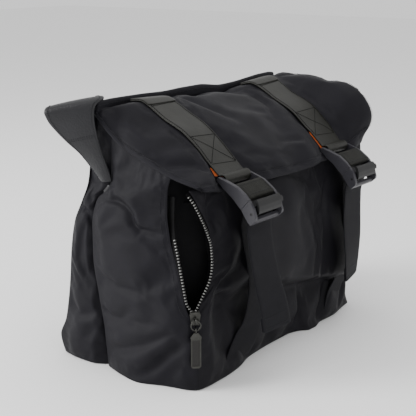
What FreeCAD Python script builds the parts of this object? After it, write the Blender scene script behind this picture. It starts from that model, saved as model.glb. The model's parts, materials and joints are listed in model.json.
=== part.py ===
"""Flight bag: a soft wedge-shaped bag with a flap, two buckled straps, a side zip pocket and a shoulder strap.

Frame: the origin is the middle of the base, +X to the right seen from the front, the front faces -Y, +Z is up.
Every length is in millimetres and every angle in degrees.
"""
import FreeCAD, Part
import math
import os

import Sketcher

Vector = FreeCAD.Vector
Rotation = FreeCAD.Rotation
Placement = FreeCAD.Placement

SIZES = {
    "half_width": 180,
    "half_depth": 90,
    "cloth": 2.5,
    "skin": 1.0,
    "gap": 0.3,
    "base_thick": 3,
    "belly_low": 104,
    "belly_high": 107,
    "mouth_front": 103,
    "mouth_height": 206,
    "back_knee": 72,
    "back_shoulder": 46,
    "back_top": 35,
    "top_height": 298,
    "seam_top": 11,
    "hinge_back": 31,
    "hinge_height": 305,
    "binding_back": 38,
    "crown_height": 303,
    "flap_half": 181,
    "hem_width": 11,
    "buckle_x": 108.6,
    "buckle_y": 144.7,
    "buckle_z": 185,
    "buckle_tilt": 41.7,
    "buckle_half": 27.5,
    "rail_thick": 4,
    "half_seam": 19,
    "top_bar_along": 58,
    "top_bar_up": 3,
    "top_bar_rad": 2.8,
    "strap_bar_along": 13,
    "strap_bar_up": 1.5,
    "strap_bar_rad": 2.25,
    "pin_along": 7,
    "pin_up": 7,
    "pin_rad": 1.5,
    "web_half": 23,
    "web_thick": 1.6,
    "leather_half": 23.2,
    "leather_thick": 2,
    "tooth_pitch": 3,
    "slider_x": -175,
    "slider_y": -99,
    "slider_z": 82,
    "ring_rad": 5.2,
    "wire_rad": 0.8,
    "eye_rad": 2.6,
    "pull_length": 40,
    "pull_half": 5.5,
    "strap_half": 26,
    "strap_thick": 3,
}

doc = FreeCAD.newDocument("flight_bag")
sheet = doc.addObject("Spreadsheet::Sheet", "Size")
for row, (alias, number) in enumerate(SIZES.items(), 1):
    sheet.set(f"A{row}", alias)
    sheet.set(f"B{row}", str(number))
    sheet.setAlias(f"B{row}", alias)
doc.recompute()

PARTS = []


def value(expression):
    """The number that an expression of the size sheet stands for."""
    if isinstance(expression, str):
        return float(sheet.evalExpression(expression))
    return float(expression)


# ---------------------------------------------------------------- sketches and bodies


def new_body(label):
    """An empty sub-part, whose label is its file's name."""
    body = doc.addObject("PartDesign::Body", label)
    body.Label = label
    PARTS.append(body)
    return body


def new_sketch(body, plane, offset):
    """A sketch on one of the body's own origin planes, raised by offset along the plane's normal."""
    sketch = body.newObject("Sketcher::SketchObject", body.Name + "_sketch")
    support = [f for f in body.Origin.OriginFeatures if f.Role == plane][0]
    sketch.AttachmentSupport = (support, [""])
    sketch.MapMode = "FlatFace"
    sketch.setExpression("AttachmentOffset.Base.z", str(offset))
    return sketch


def place_point(sketch, geometry, position, point):
    """Ties a point of the sketch to the expressions or numbers of its two coordinates."""
    for kind, coordinate in zip(("DistanceX", "DistanceY"), point):
        constraint = Sketcher.Constraint(kind, -1, 1, geometry, position, value(coordinate))
        index = sketch.addConstraint(constraint)
        if isinstance(coordinate, str):
            sketch.setExpression(f"Constraints[{index}]", coordinate)


def draw_polygon(sketch, points):
    """A closed outline of straight edges, every corner held by the size sheet."""
    corners = [Vector(value(a), value(b), 0) for a, b in points]
    first = sketch.GeometryCount
    count = len(corners)
    for i, corner in enumerate(corners):
        sketch.addGeometry(Part.LineSegment(corner, corners[(i + 1) % count]), False)
    for i in range(count):
        sketch.addConstraint(Sketcher.Constraint("Coincident", first + i, 2, first + (i + 1) % count, 1))
    for i, point in enumerate(points):
        place_point(sketch, first + i, 1, point)


def draw_circle(sketch, centre, radius):
    """A circle whose centre and radius are held by the size sheet."""
    circle = Part.Circle(Vector(value(centre[0]), value(centre[1]), 0), Vector(0, 0, 1), value(radius))
    index = sketch.addGeometry(circle, False)
    place_point(sketch, index, 3, centre)
    held = sketch.addConstraint(Sketcher.Constraint("Radius", index, value(radius)))
    if isinstance(radius, str):
        sketch.setExpression(f"Constraints[{held}]", radius)


def pad(body, sketch, length):
    """Raises the sketch by a length along its plane's normal."""
    feature = body.newObject("PartDesign::Pad", body.Name + "_pad")
    feature.Profile = sketch
    feature.setExpression("Length", str(length))
    sketch.Visibility = False
    return feature


def pocket(body, sketch, length):
    """Cuts the sketch away to both sides of its plane and makes sure that something was cut."""
    doc.recompute()
    before = body.Shape.Volume
    feature = body.newObject("PartDesign::Pocket", body.Name + "_pocket")
    feature.Profile = sketch
    feature.Midplane = True
    feature.setExpression("Length", str(length))
    doc.recompute()
    if body.Shape.Volume >= before:
        raise RuntimeError(f"the pocket in {body.Label} cut nothing")
    return feature


def add_prism(body, plane, points, start, length):
    """One padded outline in a body that may already hold others."""
    sketch = new_sketch(body, plane, start)
    draw_polygon(sketch, points)
    return pad(body, sketch, length)


def plate(label, plane, points, start, length):
    """A flat piece: one outline, raised by start and padded by length."""
    body = new_body(label)
    add_prism(body, plane, points, start, length)
    return body


def loft_plate(label, sections):
    """A curved sheet: outlines in planes of constant X, joined by straight lines."""
    body = new_body(label)
    sketches = []
    for along, points in sections:
        sketch = new_sketch(body, "YZ_Plane", along)
        draw_polygon(sketch, points)
        sketches.append(sketch)
    loft = body.newObject("PartDesign::AdditiveLoft", body.Name + "_loft")
    loft.Profile = sketches[0]
    loft.Sections = sketches[1:]
    loft.Ruled = True
    return body


def round_edges(body, radius, chosen):
    """Rounds the edges whose ends all pass the test."""
    doc.recompute()
    base = body.Tip
    edges = enumerate(base.Shape.Edges, 1)
    names = [f"Edge{i}" for i, edge in edges if all(chosen(v.Point) for v in edge.Vertexes)]
    fillet = body.newObject("PartDesign::Fillet", body.Name + "_fillet")
    fillet.Base = (base, names)
    fillet.Radius = radius


def free_part(label, shape, placement=Placement()):
    """A sub-part whose shape neither a body nor a primitive can give."""
    feature = doc.addObject("Part::Feature", label)
    feature.Label = label
    feature.Shape = shape
    feature.Placement = placement
    PARTS.append(feature)
    return feature


def shifted(points, across="0", up="0"):
    """The same outline points, moved in the sketch's plane."""
    return [(f"({a}) + ({across})", f"({b}) + ({up})") for a, b in points]


# ---------------------------------------------------------------- the bag's walls

FRONT = [
    ("-Size.half_depth", "0"),
    ("-Size.belly_low", "70"),
    ("-Size.belly_high", "140"),
    ("-Size.mouth_front", "Size.mouth_height"),
]
BACK = [
    ("Size.half_depth", "0"),
    ("Size.back_knee", "165"),
    ("Size.back_shoulder", "220"),
    ("Size.back_top", "Size.top_height"),
]
SIDE_SEAM = [("23", "0"), ("42", "165"), ("13", "219"), ("Size.seam_top", "258")]
INNER_HALF = "Size.half_width - Size.cloth"


def make_walls():
    """Front, back and base, held between two halves of each side that meet at the side's centre seam."""
    front = plate(
        "front_panel",
        "YZ_Plane",
        FRONT + shifted(FRONT, across="Size.cloth")[::-1],
        f"-({INNER_HALF})",
        f"2 * ({INNER_HALF})",
    )
    zip_gap = new_sketch(front, "XZ_Plane", "Size.belly_low")
    draw_polygon(zip_gap, [
        ("-Size.half_width", "62"),
        ("-172", "62"),
        ("-165", "72"),
        ("-161", "92"),
        ("-154", "118"),
        ("-148", "150"),
        ("-152", "188"),
        ("-158", "Size.mouth_height + 5"),
        ("-Size.half_width", "Size.mouth_height + 5"),
    ])
    pocket(front, zip_gap, "60")
    plate(
        "back_panel",
        "YZ_Plane",
        BACK + shifted(BACK, across="-Size.cloth")[::-1],
        f"-({INNER_HALF})",
        f"2 * ({INNER_HALF})",
    )
    base_reach = "Size.half_depth - Size.cloth"
    plate(
        "base_panel",
        "YZ_Plane",
        [(f"-({base_reach})", "0"), (base_reach, "0"), (f"{base_reach} - 0.4", "Size.base_thick"),
         (f"-({base_reach})", "Size.base_thick")],
        f"-({INNER_HALF})",
        f"2 * ({INNER_HALF})",
    )
    high_corner = [("11", "290"), ("-60", "286"), ("-92", "268"), FRONT[3], FRONT[2], FRONT[1], FRONT[0]]
    zip_side = [("-70", "231"), ("-73", "200"), ("-77", "145"), ("-89", "92"), ("-92", "74"),
                ("-102", "62"), FRONT[0]]
    back_top = [("30", "288"), ("Size.back_top - 1", "Size.top_height"), BACK[2], BACK[1], BACK[0]]
    low_step, high_step = [("16", "263")], [("11", "290")]
    for side, front_edge, step in (("left", zip_side, low_step), ("right", high_corner, high_step)):
        start = "-Size.half_width" if side == "left" else INNER_HALF
        plate(f"side_{side}_front", "YZ_Plane", SIDE_SEAM + front_edge, start, "Size.cloth")
        plate(f"side_{side}_back", "YZ_Plane", SIDE_SEAM + step + back_top, start, "Size.cloth")


def make_lining():
    """The liner: a thin open bag just inside the walls, stopping short of the zip pocket."""
    reach = value(INNER_HALF) - value("Size.gap")
    skin = value("Size.skin")
    clear = value("Size.cloth + Size.gap")
    floor = value("Size.base_thick + Size.gap")
    outline = [
        (-value("Size.half_depth") + clear + 1, floor),
        (-value("Size.belly_low") + clear + 13, 70),
        (-value("Size.belly_high") + clear + 13, 140),
        (-value("Size.mouth_front") + clear + 12, 200),
        (value("Size.back_shoulder") - clear - 0.5, 200),
        (value("Size.back_knee") - clear - 1.5, 160),
        (value("Size.half_depth") - clear - 1, floor),
    ]

    def prism(points, half):
        wire = Part.makePolygon([Vector(-half, y, z) for y, z in points + points[:1]])
        return Part.Face(wire).extrude(Vector(2 * half, 0, 0))

    inner = [
        (outline[0][0] + skin, floor + skin),
        (outline[1][0] + skin, 70),
        (outline[2][0] + skin, 140),
        (outline[3][0] + skin, 201),
        (outline[4][0] - skin, 201),
        (outline[5][0] - skin, 160),
        (outline[6][0] - skin, floor + skin),
    ]
    zip_corner = Part.makeBox(60, 64, 144, Vector(-reach - 4, -112, 64))
    free_part("main_lining", prism(outline, reach).cut([prism(inner, reach - skin), zip_corner]))


def make_back_binding():
    """The raised, bound edge along the top of the back, which the flap hinges on."""
    body = plate(
        "back_binding",
        "YZ_Plane",
        [("Size.hinge_back", "Size.top_height + Size.gap"),
         ("Size.binding_back", "Size.top_height + Size.gap"),
         ("Size.binding_back", "Size.hinge_height"),
         ("Size.hinge_back", "Size.hinge_height")],
        "-174",
        "348",
    )
    round_edges(body, 2.2, lambda p: p.z > value("Size.hinge_height") - 0.1)


# ---------------------------------------------------------------- zip pocket

ZIP_LEFT = [(-86, 106), (-81, 145), (-79, 204)]
ZIP_RIGHT = [(-163.5, 106), (-153.5, 150), (-157.5, 188), (-163, 204)]
TAPE_LEFT_X = "-Size.half_width + Size.cloth + Size.gap"


def along_path(points, pitch):
    """Evenly pitched places on a path of straight runs, each with the direction of its run."""
    places = []
    left_over = 0.0
    for start, end in zip(points, points[1:]):
        run = math.dist(start, end)
        direction = ((end[0] - start[0]) / run, (end[1] - start[1]) / run)
        step = left_over
        while step < run:
            places.append(((start[0] + direction[0] * step, start[1] + direction[1] * step), direction))
            step += pitch
        left_over = step - run
    return places


def make_teeth(label, path, to_world):
    """A row of separate zip teeth along a path, as one group of solids."""
    deep, wide, thick = 1.7, 4.6, 2.4
    teeth = []
    for (a, b), (da, db) in along_path(path, value("Size.tooth_pitch")):
        tooth = Part.makeBox(deep, wide, thick, Vector(-deep / 2, -wide / 2, -thick / 2))
        tooth.Placement = to_world(a, b, math.degrees(math.atan2(db, da)))
        teeth.append(tooth)
    free_part(label, Part.makeCompound(teeth))


def make_zip():
    """Two tapes and two rows of teeth either side of the open corner, end stops and the pocket's lining."""
    plate("zip_tape_left", "YZ_Plane", [
        ("-87", "92"), ("-84", "106"), ("-79.5", "145"), ("-77.5", "Size.mouth_height - 2"),
        ("-62", "Size.mouth_height - 2"), ("-65", "145"), ("-78", "84")],
        TAPE_LEFT_X, "Size.skin")
    plate("zip_tape_right", "XZ_Plane", [
        ("-166", "80"), ("-161.5", "106"), ("-151.5", "150"), ("-155.5", "188"),
        ("-161", "Size.mouth_height - 2"), ("-146", "Size.mouth_height - 2"), ("-138", "150"),
        ("-152", "80")],
        "99", "Size.skin")
    left_x = value(TAPE_LEFT_X) + value("Size.skin") / 2
    right_y = -99 - value("Size.skin") / 2

    def on_side(a, b, angle):
        upright = Rotation(Vector(0, 1, 0), Vector(0, 0, 1), Vector(1, 0, 0), "XYZ")
        return Placement(Vector(left_x, a, b), upright * Rotation(Vector(0, 0, 1), angle))

    def on_front(a, b, angle):
        upright = Rotation(Vector(1, 0, 0), Vector(0, 0, 1), Vector(0, -1, 0), "XYZ")
        return Placement(Vector(a, right_y, b), upright * Rotation(Vector(0, 0, 1), angle))

    make_teeth("zip_teeth_left", [(a - 2.6, b) for a, b in ZIP_LEFT], on_side)
    make_teeth("zip_teeth_right", [(a - 2.6, b) for a, b in ZIP_RIGHT], on_front)
    stops = []
    for place in (on_side(-81.6, 207.6, 90), on_front(-164.6, 207.6, 90)):
        stop = Part.makeBox(3.4, 5, 3, Vector(-1.7, -2.5, -1.5))
        stop.Placement = place
        stops.append(stop)
    free_part("zip_top_stops", Part.makeCompound(stops))
    plate("zip_pocket_lining", "XY_Plane", [
        ("-176", "-52"), ("-140", "-92"), ("-128", "-96"), ("-128", "-94.6"), ("-139.2", "-90.8"),
        ("-174.6", "-51.4")],
        "66", "138")


def slider_frame():
    """The slider's own frame: X across the zip, Y outwards, Z up."""
    half = math.sqrt(0.5)
    across, outwards = Vector(-half, half, 0), Vector(-half, -half, 0)
    centre = Vector(value("Size.slider_x"), value("Size.slider_y"), value("Size.slider_z"))
    return Placement(centre, Rotation(across, outwards, Vector(0, 0, 1), "ZXY"))


def make_eye(height, outwards):
    """A small wire ring on the X axis, which another ring can hang in."""
    centre = Vector(0, outwards, height)
    return Part.makeTorus(value("Size.eye_rad"), value("Size.wire_rad"), centre, Vector(1, 0, 0))


EYE_OUT = 8.2
EYE_UP = -1.0


def make_slider():
    """The slider: two wing plates with a neck between them and an eye outside, then the ring and the pull."""
    place = slider_frame()
    plates = []
    for middle in (-2.6, 2.6):
        outline = [(-4.2, -7.5), (4.2, -7.5), (6, 4), (4.6, 7.5), (-4.6, 7.5), (-6, 4)]
        wire = Part.makePolygon([Vector(x, middle - 0.9, z) for x, z in outline + outline[:1]])
        wing = Part.Face(wire).extrude(Vector(0, 1.8, 0))
        plates.append(wing.makeFillet(0.6, wing.Edges))
    neck = Part.makeBox(2.4, 5, 5, Vector(-1.2, -2.5, 2))
    stalk = Part.makeBox(2, EYE_OUT - 3, 1.6, Vector(-1, 3, EYE_UP + value("Size.eye_rad") - 0.8))
    heel = Part.makeBox(2, EYE_OUT - 3, 1.6, Vector(-1, 3, EYE_UP - value("Size.eye_rad") - 0.8))
    eye = make_eye(EYE_UP, EYE_OUT)
    free_part("zip_slider", plates[0].multiFuse([plates[1], neck, stalk, heel, eye]), place)

    ring_radius = value("Size.ring_rad")
    wire_radius = value("Size.wire_rad")
    ring_centre = EYE_UP - ring_radius
    ring = Part.makeTorus(ring_radius, wire_radius, Vector(0, EYE_OUT, ring_centre), Vector(0, 1, 0))
    free_part("zip_ring", ring, place)

    hang = ring_centre - ring_radius
    eye_radius = value("Size.eye_rad")
    top = hang - eye_radius
    half = value("Size.pull_half")
    low = top - value("Size.pull_length")
    outline = [(-2.4, top + 0.3), (2.4, top + 0.3), (half + 0.8, top - 5), (half, top - 7), (half, low + 2),
               (half - 2, low), (2 - half, low), (-half, low + 2), (-half, top - 7), (-half - 0.8, top - 5)]
    wire = Part.makePolygon([Vector(x, EYE_OUT - 1.3, z) for x, z in outline + outline[:1]])
    frame = Part.Face(wire).extrude(Vector(0, 2.6, 0))
    window_half, window_top, window_low = half - 1.4, top - 8, low + 2.4
    window = Part.makeBox(2 * window_half, 4, window_top - window_low,
                          Vector(-window_half, EYE_OUT - 2, window_low))
    free_part("zip_pull_frame", frame.cut(window).fuse(make_eye(hang, EYE_OUT)), place)
    insert_gap = 0.1
    insert = Part.makeBox(2 * (window_half - insert_gap), 1.8, window_top - window_low - 2 * insert_gap,
                          Vector(insert_gap - window_half, EYE_OUT - 0.9, window_low + insert_gap))
    free_part("zip_pull_insert", insert, place)


# ---------------------------------------------------------------- flap


def flap_points(shape):
    """Hinge, crown, shoulder and lip of the flap's outer face at one place across its width."""
    shapes = {
        "edge": [("29.5", "299"), ("14", "268"), ("-90", "233"), ("-116", "220")],
        "turn": [("29.5", "Size.crown_height"), ("6", "297"), ("-90", "242"), ("-110", "215")],
        "pressed": [("29.5", "Size.crown_height"), ("6", "300.6"), ("-86", "238.5"), ("-100", "211")],
        "proud": [("29.5", "Size.crown_height"), ("6", "299"), ("-92", "243"), ("-114", "214")],
        "rising": [("29.5", "Size.crown_height"), ("4", "301"), ("-84", "268"), ("-112", "225")],
        "puffed": [("29.5", "303"), ("-50", "299"), ("-100", "284"), ("-112", "228")],
    }
    return shapes[shape]


FLAP_ROW = [
    ("-Size.flap_half", "edge"),
    ("-152", "turn"),
    ("-138", "pressed"),
    ("-79", "pressed"),
    ("-62", "proud"),
    ("62", "proud"),
    ("79", "pressed"),
    ("138", "pressed"),
    ("152", "rising"),
    ("Size.flap_half", "puffed"),
]


def flap_sheet(label, drop, thick):
    """A sheet that follows the flap: its outer face lies drop under the flap's, and it is thick deep."""
    sections = []
    for along, shape in FLAP_ROW:
        outer = shifted(flap_points(shape), up=f"-({drop})")
        sections.append((along, outer + shifted(outer, up=f"-({thick})")[::-1]))
    return loft_plate(label, sections)


def make_flap():
    """The flap's cloth, its lining and the folded hem along its lip and both sides."""
    flap_sheet("flap_shell", "0", "Size.cloth")
    flap_sheet("flap_lining", "Size.cloth + 0.2", "Size.skin")

    def hem_section(along, low, high):
        outer = shifted([low, high], up="0.2")
        return along, outer + shifted(outer, up="0.8")[::-1]

    share = value("Size.hem_width") / 31

    def up_the_lip(shape):
        lip, shoulder = flap_points(shape)[3], flap_points(shape)[2]
        return tuple(f"({low}) + (({high}) - ({low})) * {share:.3f}" for low, high in zip(lip, shoulder))

    loft_plate("flap_hem_front", [
        hem_section(along, flap_points(shape)[3], up_the_lip(shape)) for along, shape in FLAP_ROW])
    for side, edge_row, turn_row in (("left", FLAP_ROW[0], FLAP_ROW[1]), ("right", FLAP_ROW[9], FLAP_ROW[8])):
        share_across = value("Size.hem_width") / (value("Size.flap_half") - 152)
        edge, turn = flap_points(edge_row[1]), flap_points(turn_row[1])

        def mixed(index):
            return tuple(f"({e}) + (({i}) - ({e})) * {share_across:.3f}"
                         for e, i in zip(edge[index], turn[index]))

        inner_x = f"({edge_row[0]}) + (({turn_row[0]}) - ({edge_row[0]})) * {share_across:.3f}"
        rows = []
        for along, points in ((edge_row[0], edge[:3]), (inner_x, [mixed(0), mixed(1), mixed(2)])):
            outer = shifted(points, up="0.2")
            rows.append((along, outer + shifted(outer, up="0.8")[::-1]))
        loft_plate(f"flap_hem_{side}", rows)


# ---------------------------------------------------------------- buckles and straps


def buckle_place(side):
    """The frame of one buckle: X across it, Y up along the strap, Z out of the bag."""
    base = Vector(side * value("Size.buckle_x"), -value("Size.buckle_y"), value("Size.buckle_z"))
    return Placement(base, Rotation(Vector(1, 0, 0), value("Size.buckle_tilt")))


def from_buckle(along, up):
    """A buckle-frame point in the bag's YZ plane."""
    point = buckle_place(0).multVec(Vector(0, along, up))
    return point.y, point.z


RAIL_INNER = "Size.buckle_half - Size.rail_thick"


def add_rails(body, outline):
    """The same side profile at both ends of the buckle's width."""
    for start in ("-Size.buckle_half", RAIL_INNER):
        add_prism(body, "YZ_Plane", outline, start, "Size.rail_thick")


def add_bar(body, outline):
    """A bar from rail to rail."""
    add_prism(body, "YZ_Plane", outline, f"-({RAIL_INNER})", f"2 * ({RAIL_INNER})")


def add_round_bar(body, centre, radius):
    """A round bar from rail to rail."""
    sketch = new_sketch(body, "YZ_Plane", f"-({RAIL_INNER})")
    draw_circle(sketch, centre, radius)
    pad(body, sketch, f"2 * ({RAIL_INNER})")


def make_buckle(name, side):
    """One arched buckle: the upper frame on the flap, the lower frame on the front strap, lever and pin."""
    place = buckle_place(side)
    outer_face = value("Size.buckle_half") - 0.1

    frame = new_body(f"buckle_frame_{name}")
    add_rails(frame, [
        ("Size.half_seam + 0.2", "0.6"), ("Size.half_seam + 0.2", "15.6"), ("27", "16.2"), ("39", "14.8"),
        ("50", "10.2"), ("60", "5.8"), ("62", "4.2"), ("62", "0.2"), ("50", "0"), ("36", "1.4")])
    add_round_bar(frame, ("Size.top_bar_along", "Size.top_bar_up"), "Size.top_bar_rad")
    add_bar(frame, [("23", "10"), ("42", "8.4"), ("42", "11"), ("23", "12.8")])
    round_edges(frame, 1.2, lambda p: abs(p.x) > outer_face and p.z > 4 and p.y > 19.5)
    frame.Placement = place

    wrap = new_body(f"buckle_wrap_{name}")
    half = "Size.buckle_half - Size.rail_thick - 0.6"
    add_prism(wrap, "YZ_Plane", [
        ("20.4", "9.6"), ("21.6", "7.8"), ("42.6", "6.2"), ("44.2", "7.4"), ("44.2", "12.4"),
        ("42.6", "14.2"), ("22.4", "16.6"), ("20.4", "15")], f"-({half})", f"2 * ({half})")
    hollow = new_sketch(wrap, "YZ_Plane", "0")
    draw_polygon(hollow, [("22.4", "9.8"), ("42.6", "8.1"), ("42.6", "11.3"), ("22.4", "13.1")])
    pocket(wrap, hollow, "100")
    wrap.Placement = place

    base = new_body(f"buckle_base_{name}")
    add_rails(base, [
        ("-0.5", "-3"), ("-1.4", "5"), ("0.6", "8.4"), ("9", "13.4"), ("Size.half_seam - 0.2", "15.5"),
        ("Size.half_seam - 0.2", "0.6"), ("4", "-3")])
    add_bar(base, [("-0.5", "-3"), ("-0.7", "1"), ("1", "2.7"), ("4", "2.7"), ("4", "-3")])
    add_round_bar(base, ("Size.strap_bar_along", "Size.strap_bar_up"), "Size.strap_bar_rad")
    pin_hole = new_sketch(base, "YZ_Plane", "0")
    draw_circle(pin_hole, ("Size.pin_along", "Size.pin_up"), "Size.pin_rad + 0.03")
    pocket(base, pin_hole, "100")
    round_edges(base, 1.2, lambda p: abs(p.x) > outer_face and p.z > 7.5 and p.y < 18.5)
    base.Placement = place

    pin = new_body(f"lever_pin_{name}")
    round_pin = new_sketch(pin, "YZ_Plane", "-Size.buckle_half + 0.4")
    draw_circle(round_pin, ("Size.pin_along", "Size.pin_up"), "Size.pin_rad")
    pad(pin, round_pin, "2 * (Size.buckle_half - 0.4)")
    pin.Placement = place

    lever = new_body(f"buckle_lever_{name}")
    add_prism(lever, "YZ_Plane", [
        ("16.4", "17.6"), ("15.2", "19.8"), ("12.4", "19.6"), ("8", "17"), ("4.4", "13.2"), ("2.8", "10.4"),
        ("5.2", "8.8"), ("9.4", "14.6")], "-21", "43")
    add_prism(lever, "YZ_Plane", [
        ("13.4", "15.6"), ("12.4", "18"), ("9.6", "17.6"), ("6.8", "15"), ("9.4", "14.6")], "22", "4.5")
    for start in ("-18", "14"):
        add_prism(lever, "YZ_Plane", [
            ("5", "9.2"), ("9.4", "14.8"), ("9.8", "9"), ("9.4", "5.6"), ("7", "4.4"), ("4.6", "5.6"),
            ("4.2", "8")], start, "4")
    lever_hole = new_sketch(lever, "YZ_Plane", "0")
    draw_circle(lever_hole, ("Size.pin_along", "Size.pin_up"), "Size.pin_rad + 0.05")
    pocket(lever, lever_hole, "100")
    lever.Placement = place


def ribbon(points, thick):
    """The outline of a strip of even thickness whose middle line is the points."""
    left, right = [], []
    for i, (a, b) in enumerate(points):
        before = points[max(i - 1, 0)]
        after = points[min(i + 1, len(points) - 1)]
        run = math.dist(before, after)
        across = (-(after[1] - before[1]) / run * thick / 2, (after[0] - before[0]) / run * thick / 2)
        left.append((a + across[0], b + across[1]))
        right.append((a - across[0], b - across[1]))
    return left + right[::-1]


def make_front_strap(name, side):
    """Webbing from the base seam up to the buckle, round its strap bar and down again as a free tail."""
    web = value("Size.web_thick")
    bar_y, bar_z = from_buckle(value("Size.strap_bar_along"), value("Size.strap_bar_up"))
    inside = value("Size.strap_bar_rad") + value("Size.gap")
    middle = inside + web / 2
    start = f"{side} * Size.buckle_x - Size.web_half"
    width = "2 * Size.web_half"
    body = new_body(f"front_strap_{name}")
    loop = new_sketch(body, "YZ_Plane", start)
    draw_circle(loop, (bar_y, bar_z), inside + web)
    draw_circle(loop, (bar_y, bar_z), inside)
    pad(body, loop, width)
    anchor = [(bar_y + middle, bar_z), (bar_y + middle + 1, bar_z - 8), (-115, 150), (-113, 50), (-93.2, 1.2)]
    tail = [(bar_y - 1.6, bar_z - middle + 0.4), (-138.4, 180), (-148, 140), (-158, 100), (-165, 68)]
    for path in (anchor, tail):
        add_prism(body, "YZ_Plane", ribbon(path, web), start, width)


def make_flap_strap(name, side):
    """The leather strap sewn along the flap, looped round the buckle's top bar, and its coloured backing."""
    bar_y, bar_z = from_buckle(value("Size.top_bar_along"), value("Size.top_bar_up"))
    inside = value("Size.top_bar_rad") + value("Size.gap") + 0.2
    thick = value("Size.leather_thick")
    sewn = (6.0, 303.4)
    start = f"{side} * Size.buckle_x - Size.leather_half"
    width = "2 * Size.leather_half"
    body = new_body(f"flap_strap_{name}")
    loop = new_sketch(body, "YZ_Plane", start)
    draw_circle(loop, (bar_y, bar_z), inside + thick)
    draw_circle(loop, (bar_y, bar_z), inside)
    pad(body, loop, width)
    reach = inside + thick / 2
    slope = math.atan2(sewn[1] - bar_z, sewn[0] - bar_y)
    normal = (-math.sin(slope), math.cos(slope))
    tangent = (bar_y + normal[0] * reach, bar_z + normal[1] * reach)
    add_prism(body, "YZ_Plane", ribbon([tangent, sewn], thick), start, width)
    under = thick / 2 + value("Size.gap") + 0.4
    along = [(sewn[0] - tangent[0]) * share + tangent[0] for share in (0.1, 0.32)]
    rise = (sewn[1] - tangent[1]) / (sewn[0] - tangent[0])
    backing = [(y - normal[0] * under, tangent[1] + (y - tangent[0]) * rise - normal[1] * under) for y in along]
    plate(f"strap_backing_{name}", "YZ_Plane", ribbon(backing, 0.8), start, width)


# ---------------------------------------------------------------- shoulder strap


def make_shoulder_strap():
    """The wide band from the left side seam, over a standing fold and down behind the bag to the right seam."""
    full = value("Size.strap_half")
    stations = [
        ((-185.6, 16, 203), 9, (0, 1, 0)),
        ((-187.6, 17, 232), 16, (-0.15, 0.99, 0)),
        ((-195, 24, 262), 21, (-0.45, 0.89, 0)),
        ((-202, 40, 288), 25, (-0.7, 0.71, -0.1)),
        ((-205, 50, 301), full, (-0.75, 0.65, -0.12)),
        ((-200, 60, 298), 21, (-0.78, 0.62, -0.1)),
        ((-168, 76, 268), 24, (-0.75, 0.62, 0.2)),
        ((-120, 88, 222), full, (-0.6, 0.3, 0.74)),
        ((-70, 102, 140), full, (-0.45, 0.1, 0.88)),
        ((0, 112, 92), full, (0, 0, 1)),
        ((80, 112, 90), full, (0.25, 0, 0.97)),
        ((158, 112, 128), full, (0.45, 0.1, 0.88)),
        ((195, 84, 172), full, (0.2, 0.3, 0.93)),
        ((189, 45, 194), 20, (0, 0.25, 0.97)),
        ((185.6, 16, 203), 9, (0, 0.2, 0.98)),
    ]
    thick = value("Size.strap_thick")
    rings = []
    for i, (centre, half, width_dir) in enumerate(stations):
        middle = Vector(*centre)
        after = Vector(*stations[min(i + 1, len(stations) - 1)][0])
        before = Vector(*stations[max(i - 1, 0)][0])
        across = Vector(*width_dir).normalize()
        out = (after - before).cross(across).normalize() * (thick / 2)
        side = across * half
        corners = [middle - side - out, middle + side - out, middle + side + out, middle - side + out]
        rings.append(Part.makePolygon(corners + corners[:1]))
    free_part("shoulder_strap", Part.makeLoft(rings, True, True))
    for name, side in (("left", -1), ("right", 1)):
        tab = "-Size.half_width - 3.4" if side < 0 else "Size.half_width + 0.3"
        plate(f"strap_anchor_{name}", "YZ_Plane", [("7", "188"), ("25", "188"), ("25", "214"), ("7", "214")],
              tab, "3.1")


# ---------------------------------------------------------------- build and write

make_walls()
make_lining()
make_back_binding()
make_zip()
make_slider()
make_flap()
for name, side in (("left", -1), ("right", 1)):
    make_buckle(name, side)
    make_front_strap(name, side)
    make_flap_strap(name, side)
make_shoulder_strap()
doc.recompute()

for thing in doc.Objects:
    if "Invalid" in thing.State or "Error" in thing.State:
        raise RuntimeError(f"{thing.Name} did not compute: {thing.State}")

os.makedirs("parts", exist_ok=True)
for part in PARTS:
    if part.Shape.isNull() or not part.Shape.isValid():
        raise RuntimeError(f"{part.Label} has no valid shape")
    part.Shape.exportStep(os.path.join("parts", part.Label + ".step"))
print(len(PARTS), "sub-parts written")
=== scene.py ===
"""Flight bag: the visible cloth, leather, webbing, zip and buckles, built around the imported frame.

Tables of points are in millimetres in the bag's frame: +X right, the front faces -Y, +Z up, origin under the middle.
"""
import json
import math

import bmesh
import bpy
import numpy as np
from mathutils import Matrix, Vector, noise


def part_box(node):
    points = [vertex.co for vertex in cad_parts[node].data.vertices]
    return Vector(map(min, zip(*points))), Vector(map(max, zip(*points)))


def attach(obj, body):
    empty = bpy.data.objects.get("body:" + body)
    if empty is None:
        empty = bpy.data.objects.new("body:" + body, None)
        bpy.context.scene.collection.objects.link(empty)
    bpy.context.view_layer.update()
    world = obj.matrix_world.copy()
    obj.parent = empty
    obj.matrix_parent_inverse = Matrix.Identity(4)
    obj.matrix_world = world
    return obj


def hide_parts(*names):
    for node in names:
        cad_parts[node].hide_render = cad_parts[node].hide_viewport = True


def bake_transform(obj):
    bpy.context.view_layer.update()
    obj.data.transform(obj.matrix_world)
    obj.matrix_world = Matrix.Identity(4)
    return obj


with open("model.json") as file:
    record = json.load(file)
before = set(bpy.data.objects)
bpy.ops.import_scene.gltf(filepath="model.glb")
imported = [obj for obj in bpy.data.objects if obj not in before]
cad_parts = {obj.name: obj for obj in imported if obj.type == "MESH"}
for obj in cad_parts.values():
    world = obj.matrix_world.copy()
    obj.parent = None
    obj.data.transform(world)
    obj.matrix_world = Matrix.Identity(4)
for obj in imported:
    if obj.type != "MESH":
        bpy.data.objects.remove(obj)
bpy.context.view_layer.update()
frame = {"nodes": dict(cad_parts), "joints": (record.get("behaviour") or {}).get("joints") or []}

MM = 0.001
HALF = -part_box("side_left_front")[0].x / MM
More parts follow.
